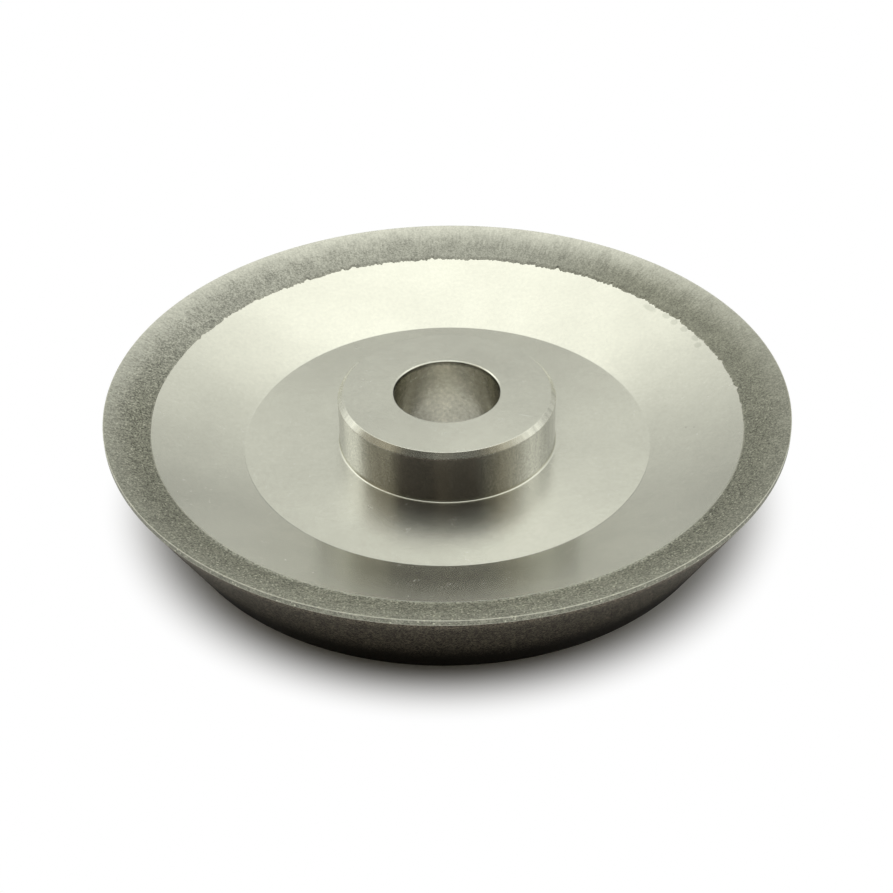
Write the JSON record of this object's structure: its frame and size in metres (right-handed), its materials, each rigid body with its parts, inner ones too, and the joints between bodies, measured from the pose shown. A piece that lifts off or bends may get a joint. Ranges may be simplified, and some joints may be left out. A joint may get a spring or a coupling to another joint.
{
  "type": "grinding wheel",
  "caption": "Dish-shaped plated grinding wheel: turned steel body with raised hub and bore, abrasive-coated rim band and outer cone.",
  "frame": {"origin": "centre of the back face, on the bore's axis, where the wheel stands", "axes": "+Z along the bore's axis, from the back face to the hub; X and Y are equivalent"},
  "size_m": [0.128, 0.128, 0.0208],
  "materials": {
    "ground_steel": "fine ground steel, satin with a warm tone",
    "nickel_bonded_grit": "grit of about 0.07 mm held in plated nickel, matt grey-green with a fine sparkle"
  },
  "bodies": {
    "root": {"wheel_body": "ground_steel", "abrasive_layer": "nickel_bonded_grit"}
  },
  "joints": []
}
